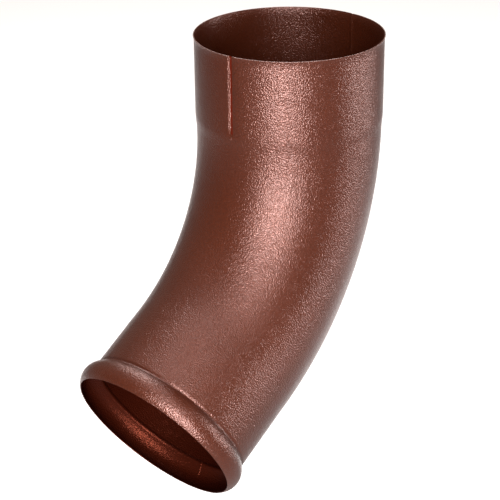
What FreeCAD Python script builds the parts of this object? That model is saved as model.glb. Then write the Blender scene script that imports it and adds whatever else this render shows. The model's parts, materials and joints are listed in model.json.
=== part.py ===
import FreeCAD, Part

import math
import os

# Downspout elbow
# One round shell of painted steel sheet, which takes water from a wall pipe and turns it away from the wall.
# Lengths are millimetres and angles are degrees.
# The origin is on the socket's axis, where its straight bore starts under the flared lip.
# +Z points up, out of the socket. The tube runs down along -Z and then swings towards -Y.
# The plane X = 0 runs through the middle of the bend.

# The steel sheet with its paint
wall = 0.6

# The socket, which the pipe above is pushed into
socket_bore_radius = 50.0
socket_length = 41.0
lip_length = 1.5
lip_flare = 0.4

# The soft step from the socket down to the bend, and the share of it that bulges outwards
swage_length = 8.9
swage_depth = 0.6
swage_brow = 0.3

# The bend, measured on its centre line
bend_radius = 134.0
bend_angle = 60.0

# The outlet, from the end of the bend to the mouth
outlet_bore_radius = 46.65
outlet_length = 54.6

# The round bead rolled at the mouth, and the narrow groove behind it
bead_height = 3.45
bead_hollow_radius = 8.1
mouth_drop = 3.05
groove_depth = 0.5
groove_radius = 1.0
shoulder_hollow_radius = 1.4

# The two joint lines of the socket, where one half of the sheet dips under the other
joint_flank = 1.7
joint_step = 0.6
joint_floor = 0.35
joint_welt_height = 0.2

# How far round the sheet each joint lies from the plane X = 0, because one half laps over the other
joint_shift_front = 1.9
joint_shift_back = 4.0
bead_welt_shift = 2.1

# The same joint shows inside the bead as a low welt
bead_welt_width = 1.6
bead_welt_height = 0.25

# Sizes that follow from those above
socket_radius = socket_bore_radius + wall
neck_bore_radius = socket_bore_radius - swage_depth
bend_start = socket_length + swage_length
outlet_radius = outlet_bore_radius + wall

# Plain values
full_turn = 360.0
quarter_turn = 90.0
axis_x = FreeCAD.Vector(1, 0, 0)
axis_y = FreeCAD.Vector(0, 1, 0)
axis_z = FreeCAD.Vector(0, 0, 1)
origin = FreeCAD.Vector(0, 0, 0)


def at(radius, height):
    # A point, or a way, in the plane that a section is drawn in.
    return FreeCAD.Vector(radius, 0, height)


def line(start, end):
    return Part.LineSegment(start, end).toShape()


def arc(centre, radius, first, last):
    # Part of a circle, less than half of it, between two ways out from its centre.
    middle = (first + last).normalize()
    return Part.Arc(centre + first * radius, centre + middle * radius, centre + last * radius).toShape()


def ogee(top, bottom):
    # Two arcs that meet in one slope. They leave and arrive parallel to the axis.
    run = top.z - bottom.z
    step = top.x - bottom.x
    both = (run ** 2 + step ** 2) / (2 * step)
    brow = both * swage_brow
    hollow = both - brow
    lean = at(both - step, -run).normalize()
    return [arc(top - at(brow, 0), brow, at(1, 0), lean), arc(bottom + at(hollow, 0), hollow, -lean, at(-1, 0))]


def closed(inner, outer):
    # Two lines of edges, joined at their ends into the section of a wall.
    ends = [(inner[0].firstVertex(True), outer[0].firstVertex(True))]
    ends.append((inner[-1].lastVertex(True), outer[-1].lastVertex(True)))
    caps = [line(a.Point, b.Point) for a, b in ends]
    return Part.Face(Part.Wire(Part.__sortEdges__(inner + outer + caps)))


def socket_line(offset):
    # The socket's wall from its lip to the bend, this far out from the bore.
    lip = at(socket_bore_radius + lip_flare + offset, lip_length)
    start = at(socket_bore_radius + offset, 0)
    end = at(socket_bore_radius + offset, -socket_length)
    neck = at(neck_bore_radius + offset, -bend_start)
    return [line(lip, start), line(start, end)] + ogee(end, neck)


def bead_centres():
    # The centres of the three arcs that shape the mouth, above the plane of the mouth.
    reach = bead_hollow_radius + wall
    bead = at(outlet_radius + bead_height - reach, math.sqrt(reach ** 2 - (reach - mouth_drop) ** 2))
    groove = at(outlet_radius - groove_depth + groove_radius, 0)
    groove.z = bead.z + math.sqrt((reach + groove_radius) ** 2 - (groove.x - bead.x) ** 2)
    shoulder = at(outlet_bore_radius - shoulder_hollow_radius, 0)
    span = groove_radius + wall + shoulder_hollow_radius
    shoulder.z = groove.z + math.sqrt(span ** 2 - (groove.x - shoulder.x) ** 2)
    return bead, groove, shoulder


def bead_line(offset, first):
    # The bead, the groove and the shoulder behind it. The bead's arc starts at the way called first.
    bead, groove, shoulder = bead_centres()
    to_groove = (groove - bead).normalize()
    to_shoulder = (shoulder - groove).normalize()
    return [
        arc(bead, bead_hollow_radius + offset, first, to_groove),
        arc(groove, groove_radius + wall - offset, -to_groove, to_shoulder),
        arc(shoulder, shoulder_hollow_radius + offset, -to_shoulder, at(1, 0)),
    ]


def outlet_line(offset):
    # The outlet's wall from the mouth to the bend, this far out from the bore.
    bead, groove, shoulder = bead_centres()
    mouth = at(outlet_radius + bead_height - mouth_drop, 0)
    start = at(outlet_bore_radius + offset, shoulder.z)
    end = at(outlet_bore_radius + offset, outlet_length)
    return bead_line(offset, (mouth - bead).normalize()) + [line(start, end)]


def on_outlet(shape):
    # From the mouth's own place, with its axis along Z, to its place at the end of the bend.
    turn = math.radians(bend_angle)
    along = FreeCAD.Vector(0, -math.sin(turn), -math.cos(turn))
    bend_end = FreeCAD.Vector(0, -bend_radius * (1 - math.cos(turn)), -bend_start - bend_radius * math.sin(turn))
    shape.Placement = FreeCAD.Placement(bend_end + along * outlet_length, FreeCAD.Rotation(axis_x, -bend_angle))
    return shape


def bend_path():
    # The centre line of the bend, from the socket's axis round to the outlet's.
    centre = FreeCAD.Vector(0, -bend_radius, -bend_start)
    marks = [math.radians(bend_angle * share) for share in (0, 0.5, 1)]
    points = [centre + FreeCAD.Vector(0, math.cos(mark), -math.sin(mark)) * bend_radius for mark in marks]
    return Part.Wire(Part.Arc(*points).toShape())


def bend_core(offset):
    # A solid bend that narrows evenly from the neck to the outlet.
    neck = Part.makeCircle(neck_bore_radius + offset, FreeCAD.Vector(0, 0, -bend_start), axis_z)
    end = on_outlet(Part.makeCircle(outlet_bore_radius + offset, FreeCAD.Vector(0, 0, outlet_length), axis_z))
    sweep = Part.BRepOffsetAPI.MakePipeShell(bend_path())
    sweep.add(Part.Wire(neck))
    sweep.add(Part.Wire(end))
    sweep.build()
    sweep.makeSolid()
    return sweep.shape()


def shell():
    # The bare sheet, from the lip to the mouth.
    socket = closed(socket_line(0), socket_line(wall)).revolve(origin, axis_z, full_turn)
    bend = bend_core(wall).cut(bend_core(0))
    outlet = on_outlet(closed(outlet_line(0), outlet_line(wall)).revolve(origin, axis_z, full_turn))
    return socket.fuse([bend, outlet])


def upright_bar(corners):
    # A bar along the front joint. Each corner is a place to the side and a distance in front of the axis.
    points = [FreeCAD.Vector(side, -front, lip_length) for side, front in corners]
    section = Part.Face(Part.makePolygon(points + points[:1]))
    return section.extrude(axis_z * -(lip_length + socket_length))


def joint_welt():
    # The low welt inside the socket, which backs the joint line up to the lip.
    back = socket_bore_radius + lip_flare + (wall - joint_floor) / 2
    crest = socket_bore_radius - joint_welt_height
    base = [(joint_step, socket_bore_radius), (joint_step, back), (-joint_flank, back)]
    top = [(-joint_flank, socket_bore_radius), (-joint_flank / 2, crest), (joint_step / 2, crest)]
    return upright_bar(base + top)


def joint_groove():
    # The line itself: one half slopes down to the floor, and the other half's edge stands up steeply.
    floor = socket_bore_radius - joint_welt_height + joint_floor
    depth = socket_radius - floor
    clear = 1 + 2 * lip_flare / depth
    rim = floor + depth * clear
    return upright_bar([(0, floor), (-joint_flank * clear, rim), (joint_step * clear, rim)])


def bead_welt():
    # The welt on the far side of the bead's hollow, from its crest over the groove.
    section = closed(bead_line(-bead_welt_height, at(1, 0)), bead_line(wall / 2, at(1, 0)))
    width = math.degrees(bead_welt_width / outlet_bore_radius)
    shift = math.degrees(bead_welt_shift / outlet_bore_radius)
    section.rotate(origin, axis_z, quarter_turn - shift - width / 2)
    return on_outlet(section.revolve(origin, axis_z, width))


def both_sides(front):
    # The shape at the front of the socket and its mirror image at the back, each shifted round to its joint.
    back = front.mirror(origin, axis_y)
    front.rotate(origin, axis_z, math.degrees(joint_shift_front / socket_radius))
    back.rotate(origin, axis_z, -math.degrees(joint_shift_back / socket_radius))
    return [front, back]


def elbow_shell():
    # The whole elbow is one piece of welded sheet.
    raised = both_sides(joint_welt()) + [bead_welt()]
    whole = shell().fuse(raised).cut(both_sides(joint_groove()))
    return whole.Solids[0]


os.makedirs("parts", exist_ok=True)
elbow = elbow_shell()
elbow.exportStep("parts/elbow_shell.step")
print("elbow_shell", "valid", elbow.isValid(), "faces", len(elbow.Faces), "volume", round(elbow.Volume, 1))
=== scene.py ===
# %% [markdown]
# # A downspout elbow of painted sheet steel
# The real part is one shell, 0.6 mm thick. Two pressed halves are welded, rolled to a bead at the mouth and painted.
# It takes the water of a wall pipe in its socket and throws it clear of the wall.
# The exact solid of the same elbow comes in first. It fixes the size and the place of everything below.

# %% Bring in the solid model
import json
import math

import bpy
from mathutils import Matrix, Vector


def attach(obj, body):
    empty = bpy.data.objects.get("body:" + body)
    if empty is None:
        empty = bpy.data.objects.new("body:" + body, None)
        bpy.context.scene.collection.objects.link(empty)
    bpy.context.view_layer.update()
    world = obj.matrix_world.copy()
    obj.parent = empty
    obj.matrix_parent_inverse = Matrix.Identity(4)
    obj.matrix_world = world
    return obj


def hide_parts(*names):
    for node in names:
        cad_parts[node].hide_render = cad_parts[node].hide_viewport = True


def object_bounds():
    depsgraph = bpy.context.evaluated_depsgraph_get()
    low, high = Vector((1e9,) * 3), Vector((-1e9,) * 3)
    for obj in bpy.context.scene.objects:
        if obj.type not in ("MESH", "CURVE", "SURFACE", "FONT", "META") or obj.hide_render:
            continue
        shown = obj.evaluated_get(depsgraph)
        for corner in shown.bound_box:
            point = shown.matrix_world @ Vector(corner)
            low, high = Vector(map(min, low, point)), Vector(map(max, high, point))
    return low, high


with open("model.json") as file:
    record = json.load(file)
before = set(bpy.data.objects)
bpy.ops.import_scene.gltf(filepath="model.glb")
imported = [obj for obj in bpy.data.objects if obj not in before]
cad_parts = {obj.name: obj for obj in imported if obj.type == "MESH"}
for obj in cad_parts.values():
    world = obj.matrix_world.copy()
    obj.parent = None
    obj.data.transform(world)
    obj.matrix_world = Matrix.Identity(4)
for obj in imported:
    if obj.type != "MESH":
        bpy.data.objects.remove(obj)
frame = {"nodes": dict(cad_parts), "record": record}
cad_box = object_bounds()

mm = 0.001
record = frame["record"]
print("solid pieces:", sorted(frame["nodes"]))
print("box in mm:", [[round(c / mm, 1) for c in corner] for corner in cad_box])

# %% [markdown]
# ## The sizes
# A real elbow is drawn once as a section, so all its sizes are named here. The socket's bore and length come from
# the record, where the pipe's fit is stated. The rest are the driving sizes of the sheet, its bend and its bead.
# Lengths are in metres, so each is written in millimetres and multiplied by one small value.

# %% Name the driving sizes
socket = next(mount for mount in record["mounts"] if mount["name"] == "socket")
wall = 0.6 * mm
socket_radius = socket["dims"]["r_mm"] * mm + wall
socket_length = socket["dims"]["length_mm"] * mm

# The flared lip leans out, so the inner edge of its rim stands a little higher than the outer edge.
rim_lean = 0.14 * mm
lip_height = cad_box[1].z - rim_lean
lip_radius = cad_box[1].x

swage_length = 8.9 * mm
swage_depth = 0.6 * mm
neck_radius = socket_radius - swage_depth
bend_radius = 134.0 * mm
bend_angle = math.radians(60)

outlet_radius = 47.25 * mm
outlet_length = 54.6 * mm

bead_radius = 8.7 * mm
bead_height = 3.45 * mm
mouth_drop = 3.05 * mm
bead_crest = outlet_radius + bead_height
mouth_radius = bead_crest - mouth_drop
groove_radius = 1.0 * mm
groove_depth = 0.5 * mm
shoulder_radius = 2.0 * mm

bend_start = Vector((0, 0, -socket_length - swage_length))
bend_centre = bend_start + Vector((0, -bend_radius, 0))
print("sheet", round(wall / mm, 2), "mm, socket", round(socket_radius / mm, 2), "mm in radius")

# %% [markdown]
# ## The profile
# Seen from the side, the wall is a line that runs from the lip to the mouth. Each point of that line is one ring of
# the mesh. Straight stretches need few rings. Round ones, such as the bead, need a ring for every few degrees.
# The bead, the groove and the shoulder are arcs that touch each other, so their centres are worked out from the
# radii, as a toolmaker would draw them.

# %% Count the rings of each stretch
socket_steps = 12
swage_steps = 10
bend_steps = 40
outlet_steps = 8
shoulder_steps = 4
groove_steps = 8
bead_steps = 22


# %% Work out the rings of the socket and of the mouth
def between(start, end, steps):
    """Evenly spaced values after start, up to end."""
    return [start + (end - start) * step / steps for step in range(1, steps + 1)]


def soft_step(share):
    """A share from 0 to 1 that leaves and arrives gently, for the swage."""
    return share * share * (3 - 2 * share)


def arc_rings(centre, radius, first, last, steps):
    """Rings on an arc in the section, as (radius, height). Angles count from the outward way."""
    turns = [first] + between(first, last, steps)
    return [(centre[0] + radius * math.cos(turn), centre[1] + radius * math.sin(turn)) for turn in turns]


lip_rings = [(lip_radius, lip_height), (socket_radius, 0.0)]
socket_rings = [(socket_radius, height) for height in between(0.0, -socket_length, socket_steps)]
swage_rings = [
    (socket_radius - (socket_radius - neck_radius) * soft_step(share), -socket_length - swage_length * share)
    for share in between(0.0, 1.0, swage_steps)
]

bead = (bead_crest - bead_radius, math.sqrt(bead_radius ** 2 - (bead_radius - mouth_drop) ** 2))
groove_out = outlet_radius - groove_depth + groove_radius
groove = (groove_out, bead[1] + math.sqrt((bead_radius + groove_radius) ** 2 - (groove_out - bead[0]) ** 2))
shoulder_out = outlet_radius - shoulder_radius
reach = groove_radius + shoulder_radius
shoulder = (shoulder_out, groove[1] + math.sqrt(reach ** 2 - (groove[0] - shoulder_out) ** 2))


def way(start, end):
    """The angle of the line from one centre to another."""
    return math.atan2(end[1] - start[1], end[0] - start[0])


to_groove = way(bead, groove)
to_shoulder = way(groove, shoulder)
mouth_rings = arc_rings(shoulder, shoulder_radius, 0.0, to_shoulder - math.pi, shoulder_steps)
mouth_rings += arc_rings(groove, groove_radius, to_shoulder, to_groove + math.pi, groove_steps)[1:]
mouth_rings += arc_rings(bead, bead_radius, to_groove, way(bead, (mouth_radius, 0.0)), bead_steps)[1:]
print("rings at the mouth:", len(mouth_rings), "from", [round(v / mm, 2) for v in mouth_rings[0]])

# %% [markdown]
# ## The shell's outer face
# A circle at the lip is the start. Its open edge is extruded ring by ring, and each new ring is moved on and scaled
# to its radius. Round the bend each ring is also turned about the bend's centre. A spin would make the bend in one
# step, but it can't narrow the tube on the way, and this elbow narrows by 2.7 mm.

# %% Helpers that make and move a ring
columns = 160


def deselect():
    """Nothing may stay selected, because an operator acts on all that is."""
    bpy.ops.object.select_all(action="DESELECT")


def next_ring(ring, move, radius):
    """Extrudes the open edge, moves it and scales it to its radius. ring holds its centre and radius."""
    bpy.ops.mesh.extrude_edges_move(TRANSFORM_OT_translate={"value": move})
    ring["centre"] = ring["centre"] + move
    share = radius / ring["radius"]
    bpy.ops.transform.resize(value=(share, share, share), center_override=ring["centre"])
    ring["radius"] = radius


def bent_ring(ring, turn, radius):
    """The next ring round the bend: extruded, turned about the bend's centre and scaled."""
    bpy.ops.mesh.extrude_edges_move(TRANSFORM_OT_translate={"value": (0, 0, 0)})
    bpy.ops.transform.rotate(value=turn, orient_axis="X", center_override=bend_centre)
    arm = ring["centre"] - bend_centre
    ring["centre"] = bend_centre + Matrix.Rotation(-abs(turn), 3, "X") @ arm
    share = radius / ring["radius"]
    bpy.ops.transform.resize(value=(share, share, share), center_override=ring["centre"])
    ring["radius"] = radius


# %% Build the rings from the lip to the mouth
deselect()
bpy.ops.mesh.primitive_circle_add(vertices=columns, radius=lip_radius, location=(0, 0, lip_height))
elbow = bpy.context.object
elbow.name = "painted_elbow"
bpy.ops.object.transform_apply(location=True, rotation=True, scale=True)
bpy.ops.object.mode_set(mode="EDIT")
bpy.ops.mesh.select_mode(type="EDGE")
bpy.ops.mesh.select_all(action="SELECT")
ring = {"centre": Vector((0, 0, lip_height)), "radius": lip_radius}

for radius, height in lip_rings[1:] + socket_rings + swage_rings:
    next_ring(ring, Vector((0, 0, height)) - ring["centre"], radius)

for share in between(0.0, 1.0, bend_steps):
    bent_ring(ring, bend_angle / bend_steps, neck_radius + (outlet_radius - neck_radius) * share)
print("end of the bend in mm:", [round(v / mm, 2) for v in ring["centre"]])

downstream = Vector((0, -math.sin(bend_angle), -math.cos(bend_angle)))
mouth_centre = ring["centre"] + downstream * outlet_length
outlet_rings = [(outlet_radius, height) for height in between(outlet_length, mouth_rings[0][1], outlet_steps)]
for radius, height in outlet_rings + mouth_rings[1:]:
    next_ring(ring, mouth_centre - downstream * height - ring["centre"], radius)
bpy.ops.object.mode_set(mode="OBJECT")
print("mouth's centre in mm:", [round(v / mm, 2) for v in ring["centre"]], "vertices:", len(elbow.data.vertices))


# %% [markdown]
# ## The two joint lines
# The halves of the sheet lap in front and behind, and the welded lap was pressed flat. What is left to see in the
# socket is a fine line: one half slopes down to it, then comes a narrow dark gap, and the other half rises from there
# without a step. The lap puts each line a little to one side of the middle. The mesh's columns are 2 mm apart, so the
# line takes the column nearest to it, and the few faces on both sides of that column are cut by two planes, where
# the slope starts and where the gap ends. That is done before the wall gets its thickness.

# %% Cut the faces beside each joint line
joints = {-1: 1.9 * mm, 1: 4.0 * mm}
slope_width = 1.4 * mm
gap_width = 1.0 * mm
column_turn = 2 * math.pi / columns


def nearest_column(shift, radius):
    """The turn from the middle plane to the column of the mesh that lies nearest."""
    return round(shift / radius / column_turn) * column_turn


def select_where(mesh, test, kind="vertices"):
    """Selects the vertices, edges or faces that pass the test, and nothing else. Works in object mode."""
    for items in (mesh.vertices, mesh.edges, mesh.polygons):
        items.foreach_set("select", [False] * len(items))
    chosen = [item for item in getattr(mesh, kind) if test(item)]
    for item in chosen:
        item.select = True
    return len(chosen)


def pick_by(kind):
    """Makes edit mode pick vertices, edges or faces, and goes back to object mode."""
    bpy.ops.object.mode_set(mode="EDIT")
    bpy.ops.mesh.select_mode(type=kind)
    bpy.ops.object.mode_set(mode="OBJECT")


def cut_faces(piece, test, x):
    """Cuts the faces that pass the test along the upright plane at this x."""
    found = select_where(piece.data, test, "polygons")
    bpy.ops.object.mode_set(mode="EDIT")
    bpy.ops.mesh.bisect(plane_co=(x, 0, 0), plane_no=(1, 0, 0))
    bpy.ops.object.mode_set(mode="OBJECT")
    return found


def beside_joint(side, turn, way_out):
    """A test for the socket's faces next to a joint line: in front or behind, left or right of it."""
    def test(face):
        middle = face.center
        beyond = (math.atan2(middle.x, side * middle.y) - turn) / column_turn
        return 0 < beyond * way_out < 1 and middle.z > -socket_length
    return test


bpy.ops.object.mode_set(mode="EDIT")
bpy.ops.mesh.select_all(action="SELECT")
bpy.ops.mesh.normals_make_consistent(inside=False)
bpy.ops.object.mode_set(mode="OBJECT")
pick_by("FACE")
for side, shift in joints.items():
    turn = nearest_column(shift, socket_radius)
    line_x = socket_radius * math.sin(turn)
    for way_out, width in ((-1, slope_width), (1, gap_width)):
        found = cut_faces(elbow, beside_joint(side, turn, way_out), line_x + way_out * width)
        print("faces cut beside the line at", round(line_x / mm, 2), "mm:", found)

# %% [markdown]
# ## The wall
# A Solidify modifier gives the sheet its 0.6 mm inwards. Even thickness keeps that measure through the tight arcs of
# the groove, where a plain offset would thin the wall. Then the joint lines are pressed in column by column, outside
# deeper than inside, as on a lap that was flattened against a bar. The lap also shows inside the mouth as a low welt.

# %% Give the sheet its thickness and press in the joint lines
def apply_modifier(piece, kind, **settings):
    """Adds a modifier with its settings and applies it."""
    modifier = piece.modifiers.new(kind.lower(), kind)
    for name, value in settings.items():
        setattr(modifier, name, value)
    deselect()
    bpy.context.view_layer.objects.active = piece
    bpy.ops.object.modifier_apply(modifier=modifier.name)


def press(piece, test, move):
    """Moves the vertices that pass the test."""
    found = select_where(piece.data, test)
    bpy.ops.object.mode_set(mode="EDIT")
    bpy.ops.transform.translate(value=move)
    bpy.ops.object.mode_set(mode="OBJECT")
    return found


apply_modifier(elbow, "SOLIDIFY", thickness=wall, offset=-1.0, use_even_offset=True)
pick_by("VERT")

near_line = 0.1 * mm
middle_of_wall = socket_radius - wall / 2
column_width = socket_radius * column_turn
inside_depths = {0: 0.35 * mm}
outside_depths = {0: 0.6 * mm, gap_width: 0.5 * mm, column_width: 0.15 * mm}


def along_joint(side, turn, beyond, outside):
    """A test for the vertices of one column of a joint: so far to the right of its line, inside or outside."""
    def test(vertex):
        place = vertex.co
        if place.y * side < 0 or place.z < -socket_length - near_line:
            return False
        flare = (lip_radius - socket_radius) * max(place.z, 0) / lip_height
        out = Vector((place.x, place.y)).length
        away = (math.atan2(place.x, side * place.y) - turn) * socket_radius - beyond
        return abs(away) < near_line and (out > middle_of_wall + flare) == outside
    return test


for side, shift in joints.items():
    turn = nearest_column(shift, socket_radius)
    outwards = Vector((math.sin(turn), side * math.cos(turn), 0))
    # The inside comes first, because a line pressed in from outside passes the middle of the wall.
    for outside, depths in ((False, inside_depths), (True, outside_depths)):
        for beyond, depth in depths.items():
            found = press(elbow, along_joint(side, turn, beyond, outside), -outwards * depth)
            print("pressed in by", round(depth / mm, 2), "mm:", found)

# %% Raise the short welt in the bead's hollow
inwards = Vector((0, -math.cos(bend_angle), math.sin(bend_angle)))
welt_turn = nearest_column(2.1 * mm, outlet_radius)
welt_flank = 0.5 * mm
welt_height = 0.3 * mm


def beyond_welt(place, normal):
    """How far to the right of the welt's line a place inside the mouth lies, or None outside its stretch."""
    arm = place - mouth_centre
    height = -arm.dot(downstream)
    if normal.dot(inwards) < 0 or arm.dot(inwards) > 0 or not bead[1] < height < shoulder[1]:
        return None
    return (math.atan2(arm.x, -arm.dot(inwards)) - welt_turn) * outlet_radius


def beside_welt(face):
    """The faces that touch the welt's line."""
    beyond = beyond_welt(face.center, face.normal)
    return beyond is not None and abs(beyond) < outlet_radius * column_turn


def on_welt(vertex):
    """The vertices of the welt's line."""
    beyond = beyond_welt(vertex.co, vertex.normal)
    return beyond is not None and abs(beyond) < near_line


pick_by("FACE")
for way_out in (-1, 1):
    found = cut_faces(elbow, beside_welt, outlet_radius * math.sin(welt_turn) + way_out * welt_flank)
    print("faces cut beside the welt:", found)
pick_by("VERT")
print("vertices raised on the welt:", press(elbow, on_welt, inwards * welt_height))

# %% [markdown]
# ## The cut edges
# A sheared edge that has been painted is never sharp: the paint rounds it. A small bevel on the two rims catches
# the light as the thin bright line that a real edge shows. Only the square edges turn by more than the limit, so
# the modifier leaves the joint lines alone. Smooth shading has a limit too: all the round parts turn by less from
# face to face, and the slopes of the joint lines by more, so only those stay crisp.

# %% Round the rims and smooth the shading
rim_rounding = 0.15 * mm
square_from = math.radians(60)
crisp_from = math.radians(20)
apply_modifier(elbow, "BEVEL", width=rim_rounding, segments=2, limit_method="ANGLE", angle_limit=square_from)
elbow.select_set(True)
bpy.ops.object.shade_smooth_by_angle(angle=crisp_from)
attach(elbow, "root")
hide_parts("elbow_shell")
print("triangles:", sum(len(face.vertices) - 2 for face in elbow.data.polygons))

# %% [markdown]
# ## The weld spots
# Each joint line ends in a small spot of weld at the top of the swage. It is a flat drop that sank into the seam, so
# a sphere is squashed and only its outer part is kept. One function makes both, in front and behind.

# %% Make the weld spots
spot_width = 1.3 * mm
spot_height = 0.22 * mm
spot_sink = 0.1 * mm
spot_drop = 2.2 * mm
spot_stretch = 1.25
spot_crisp_from = math.radians(40)


def weld_spot(name, side, turn):
    """A flat drop of weld on the outside of the swage, under the joint line at this turn."""
    outwards = Vector((math.sin(turn), side * math.cos(turn), 0))
    place = outwards * (socket_radius - spot_sink) + Vector((0, 0, -socket_length - spot_drop))
    deselect()
    bpy.ops.mesh.primitive_uv_sphere_add(
        segments=20, ring_count=10, radius=spot_width / 2, location=place, rotation=(0, 0, -side * turn)
    )
    spot = bpy.context.object
    spot.name = name
    spot.scale = (1.0, 2 * spot_height / spot_width, spot_stretch)
    bpy.ops.object.transform_apply(location=True, rotation=True, scale=True)
    bpy.ops.object.mode_set(mode="EDIT")
    bpy.ops.mesh.select_all(action="SELECT")
    bpy.ops.mesh.bisect(
        plane_co=place - outwards * spot_sink, plane_no=-outwards, use_fill=True, clear_outer=True
    )
    bpy.ops.object.mode_set(mode="OBJECT")
    bpy.ops.object.shade_smooth_by_angle(angle=spot_crisp_from)
    return spot


spots = [
    weld_spot(name, side, nearest_column(joints[side], socket_radius))
    for name, side in (("weld_spot_front", -1), ("weld_spot_behind", 1))
]
for spot in spots:
    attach(spot, "root")
print("weld spots:", [(spot.name, len(spot.data.polygons)) for spot in spots])

# %% [markdown]
# ## The paint
# The finish is a textured powder paint in a copper brown, baked on zinc-coated steel. Fine metal flakes lie in it, so
# part of it mirrors like a tinted metal and the rest is pigment in resin, with an IOR of 1.5. The powder doesn't flow
# out flat: it sets as a skin of grains. Seen from a step away the colour is even, and the grains show where light
# glances off them, as bright points beside dark ones. Real grains are 0.3 to 0.5 mm wide. They are drawn at 0.6 mm,
# because a finer grain is lost between the picture's pixels. Clear resin lies over the flakes as a thin coat, which
# gives the skin its soft white sheen.

# %% Helpers for the materials
def linear(code):
    """An sRGB hex colour as the linear colour that a shader takes."""
    levels = [int(code[place:place + 2], 16) / 255 for place in (0, 2, 4)]
    return [level / 12.92 if level <= 0.04045 else ((level + 0.055) / 1.055) ** 2.4 for level in levels] + [1.0]


def add_node(tree, kind, values=None, links=None, **properties):
    """Adds a node with its properties, the values of its input sockets and the links into them."""
    node = tree.nodes.new(kind)
    for name, value in properties.items():
        setattr(node, name, value)
    for name, value in (values or {}).items():
        node.inputs[name].default_value = value
    for name, output in (links or {}).items():
        tree.links.new(output, node.inputs[name])
    return node


def new_material(name):
    """An empty material, its node tree, and the link that gives a pattern the object's own coordinates."""
    material = bpy.data.materials.new(name)
    material.use_nodes = True
    tree = material.node_tree
    tree.nodes.clear()
    return material, tree, {"Vector": add_node(tree, "ShaderNodeTexCoord").outputs["Object"]}


# %% Mix the powder paint
grain_width = 0.6 * mm
grain_height = 0.25 * mm
grain_levels = (0.35, 0.65)
painted_grain_shade = 0.3
blotch_width = 28 * mm


def make_paint(name, light, dark, tint, resin):
    """Copper-brown powder paint with metal flakes and a fine grain: its shades, mirror tint and clear resin."""
    # Two noises in the object's own millimetres: wide, faint blotches in the colour, and the grain of the skin.
    paint, tree, place = new_material(name)
    blotches = add_node(tree, "ShaderNodeTexNoise", {"Scale": 1 / blotch_width, "Detail": 3.0}, place)
    grains = add_node(tree, "ShaderNodeTexNoise", {"Scale": 1 / grain_width, "Detail": 0.0}, place)
    shade = add_node(
        tree,
        "ShaderNodeMix",
        {"A": linear(dark), "B": linear(light)},
        {"Factor": blotches.outputs["Fac"]},
        data_type="RGBA",
    )
    # The hollows between the grains are painted a little darker, as painted shade in the bump's hollows.
    painted_hollow_shade = add_node(
        tree,
        "ShaderNodeMapRange",
        {"From Min": grain_levels[0], "From Max": grain_levels[1], "To Min": painted_grain_shade, "To Max": 0.0},
        {"Value": grains.outputs["Fac"]},
    )
    colour = add_node(
        tree,
        "ShaderNodeMix",
        {"B": linear("1c0a06")},
        {"Factor": painted_hollow_shade.outputs["Result"], "A": shade.outputs["Result"]},
        data_type="RGBA",
    )
    skin = add_node(tree, "ShaderNodeBump", {"Distance": grain_height}, {"Height": grains.outputs["Fac"]})
    shader = add_node(
        tree,
        "ShaderNodeBsdfPrincipled",
        {
            "IOR": 1.5,
            "Metallic": 0.5,
            "Roughness": 0.32,
            "Specular Tint": linear(tint),
            "Coat Weight": resin,
            "Coat Roughness": 0.22,
        },
        {
            "Base Color": colour.outputs["Result"],
            "Normal": skin.outputs["Normal"],
            "Coat Normal": skin.outputs["Normal"],
        },
    )
    add_node(tree, "ShaderNodeOutputMaterial", {}, {"Surface": shader.outputs["BSDF"]})
    return paint


paint = make_paint("textured_metallic_powder_paint", light="53220f", dark="4b1d0b", tint="ffffff", resin=0.25)
for piece in [elbow] + spots:
    piece.data.materials.clear()
    piece.data.materials.append(paint)
print("painted pieces:", [piece.name for piece in [elbow] + spots])


# %% [markdown]
# ## Painted shade in the mouth and in the joint lines
# Two places get painted shade: the inside of the mouth and the narrow gap of the joint lines. Each gets a material of
# its own on its own faces. A mask in one material would do it too, but the borders lie on the mesh's own edges, so
# whole faces give a cleaner line. In the mouth the same paint is mixed darker, as painted shade for the little light
# that reaches in. It has no clear resin on it, and what it mirrors takes a copper tint. In the gap a dull, dark red
# is painted shade for the shadow deep in the narrow gap.

# %% Give the faces inside the mouth their paint with painted shade
mouth_slot, gap_slot = 1, 2
least_lean = 0.1


def faces_way(face, way_out):
    """Whether a face looks this way, and isn't one of the narrow faces that stand across it."""
    return face.normal.dot(way_out) > least_lean


def inside_mouth(face):
    """The faces of the inside, from the rim of the mouth up to the end of the bend."""
    arm = face.center - mouth_centre
    height = -arm.dot(downstream)
    out = arm + downstream * height
    return -near_line < height < outlet_length and faces_way(face, -out.normalized())


def colour_faces(piece, slot, test):
    """Gives the faces that pass the test the material in that slot."""
    found = select_where(piece.data, test, "polygons")
    for face in piece.data.polygons:
        if face.select:
            face.material_index = slot
    return found


# The mouth's paint is the outer paint mixed darker: painted shade inside the mouth.
elbow.data.materials.append(
    make_paint("thin_powder_paint_in_the_mouth", light="3a1006", dark="2e0c04", tint="c07a66", resin=0.0)
)
print("faces inside the mouth:", colour_faces(elbow, mouth_slot, inside_mouth))

# %% Paint shade into the gap of the joint lines
gap_blotch_length = 4 * mm


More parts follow.
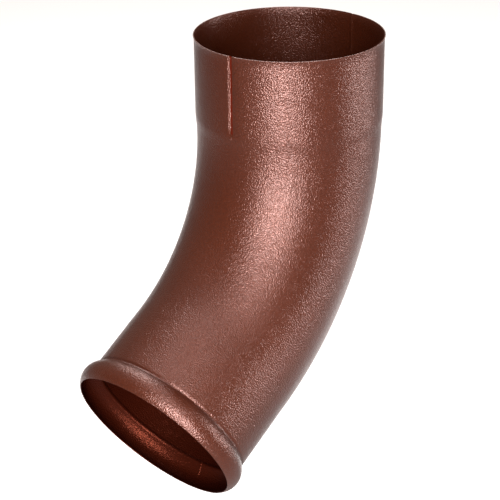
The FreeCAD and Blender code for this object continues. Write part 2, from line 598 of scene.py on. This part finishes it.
def make_gap():
    """Painted shade in the narrow gap: a dull, dark red that stands in for the shadow deep in it."""
    # Its only pattern is a faint, random blotching a few millimetres long.
    gap, tree, place = new_material("thin_paint_in_the_joint")
    gap_blotches = add_node(tree, "ShaderNodeTexNoise", {"Scale": 1 / gap_blotch_length, "Detail": 1.0}, place)
    colour = add_node(
        tree,
        "ShaderNodeMix",
        {"A": linear("3a0a03"), "B": linear("521306")},
        {"Factor": gap_blotches.outputs["Fac"]},
        data_type="RGBA",
    )
    # The real gap is deeper than it is drawn: its shadow is painted in, and no light is mirrored out of it.
    shader = add_node(
        tree,
        "ShaderNodeBsdfPrincipled",
        {"IOR": 1.5, "Roughness": 0.7, "Specular IOR Level": 0.0},
        {"Base Color": colour.outputs["Result"]},
    )
    add_node(tree, "ShaderNodeOutputMaterial", {}, {"Surface": shader.outputs["BSDF"]})
    return gap


def in_gap(side, turn):
    """A test for the outer faces of the gap, from the line to where the other half rises."""
    outwards = Vector((math.sin(turn), side * math.cos(turn), 0))

    def test(face):
        away = (math.atan2(face.center.x, side * face.center.y) - turn) * socket_radius
        on_socket = face.center.y * side > 0 and face.center.z > -socket_length - near_line
        return on_socket and 0 < away < gap_width and faces_way(face, outwards)
    return test


elbow.data.materials.append(make_gap())
for side, shift in joints.items():
    found = colour_faces(elbow, gap_slot, in_gap(side, nearest_column(shift, socket_radius)))
    print("dark faces in the gap:", found)

# %% [markdown]
# ## The studio
# The elbow is made to hang on a wall, so it doesn't stand on the floor. The pale floor lies well below it, with a
# sheet of white paper only where the camera looks past the elbow. That gives the picture the clean white ground of
# the photograph, and the floor in front stays calm, so the paint keeps its deep colour in the shade. Softboxes beside
# the camera give the broad highlight that runs down the tube, those to the right give the second, fainter one, and
# the others fill in. The lamp behind lights the sheet. The room itself gives a faint, warm light from all sides.

# %% Lay the floor and the sheet of paper
floor_drop = 365 * mm
floor_size = 14.0
paper_thickness = 1 * mm
sheet_width = 1.3
sheet_start = 0.4
sheet_end = 2.5


def stage_plane(name, width, length, place, turn, material_name, colour):
    """A flat, dull sheet of the studio, which isn't part of the elbow."""
    deselect()
    bpy.ops.mesh.primitive_plane_add(size=1.0, location=place, rotation=(0, 0, turn))
    sheet = bpy.context.object
    sheet.name = name
    sheet.scale = (width, length, 1.0)
    paper = bpy.data.materials.new(material_name)
    paper.use_nodes = True
    shader = paper.node_tree.nodes["Principled BSDF"]
    shader.inputs["Base Color"].default_value = linear(colour)
    shader.inputs["Roughness"].default_value = 0.9
    sheet.data.materials.append(paper)


camera_azimuth = math.radians(40.58)
ahead = Vector((-math.sin(camera_azimuth), math.cos(camera_azimuth), 0))
on_floor = Vector((0, 0, cad_box[0].z - floor_drop))
sheet_middle = on_floor + ahead * (sheet_start + sheet_end) / 2 + Vector((0, 0, paper_thickness))
sheet_length = sheet_end - sheet_start
stage_plane("floor", floor_size, floor_size, on_floor, 0.0, "pale_grey_floor", "8e8e8e")
stage_plane("ground_sheet", sheet_width, sheet_length, sheet_middle, camera_azimuth, "white_paper", "f8f8f8")
print("floor", round(floor_drop / mm), "mm below the mouth, sheet of", sheet_width, "by", sheet_length, "m")

# %% Place the camera
camera_place = Vector((506.5, -625.0, 242.6)) * mm
camera_elevation = math.radians(24.54)
camera_roll = math.radians(-0.588)
lens = bpy.data.cameras.new("camera")
lens.lens = 113.2
lens.sensor_width = 36.0
camera = bpy.data.objects.new("camera", lens)
bpy.context.scene.collection.objects.link(camera)
look = Matrix.Rotation(camera_azimuth, 4, "Z") @ Matrix.Rotation(math.pi / 2 - camera_elevation, 4, "X")
camera.matrix_world = Matrix.Translation(camera_place) @ look @ Matrix.Rotation(camera_roll, 4, "Z")
bpy.context.scene.camera = camera
print("camera", round(camera_place.length, 3), "m from the socket, lens", round(lens.lens, 1), "mm")


# %% Place the lights
def softbox(name, from_camera, elevation, distance, width, height, power):
    """A soft light aimed at the elbow's middle. from_camera counts to the right of the camera, in degrees."""
    middle = (cad_box[0] + cad_box[1]) / 2
    azimuth = camera_azimuth + math.radians(from_camera)
    rise = math.radians(elevation)
    back = Vector((math.sin(azimuth) * math.cos(rise), -math.cos(azimuth) * math.cos(rise), math.sin(rise)))
    light = bpy.data.lights.new(name, "AREA")
    light.shape = "RECTANGLE"
    light.size = width
    light.size_y = height
    light.energy = power
    lamp = bpy.data.objects.new(name, light)
    lamp.location = middle + back * distance
    lamp.rotation_euler = back.to_track_quat("Z", "Y").to_euler()
    bpy.context.scene.collection.objects.link(lamp)


softboxes = [
    ("low_key", -8, -11, 1.6, 0.42, 0.25, 19),
    ("key", -8, 0, 1.6, 0.42, 0.35, 24),
    ("middle_key", -2, 15, 1.6, 0.42, 0.4, 10),
    ("high_key", -8, 24, 1.6, 0.42, 0.5, 14),
    ("front", 24, 40, 1.6, 0.5, 0.5, 8),
    ("left", -90, 50, 1.6, 0.5, 0.5, 1.5),
    ("right", 92, 6, 1.6, 0.3, 0.6, 13),
    ("low_right", 94, -10, 1.6, 0.3, 0.3, 6),
    ("top", 0, 80, 1.6, 0.8, 0.8, 11),
    ("behind", 180, 55, 3.0, 1.5, 1.5, 82),
]
for settings in softboxes:
    softbox(*settings)
print("softboxes:", len(softboxes))

# %% Give the room its own faint light
world = bpy.data.worlds.new("studio_room")
bpy.context.scene.world = world
world.use_nodes = True
background = world.node_tree.nodes["Background"]
background.inputs["Color"].default_value = linear("ffe4d6")
background.inputs["Strength"].default_value = 0.35
bpy.context.scene.view_settings.view_transform = "Standard"
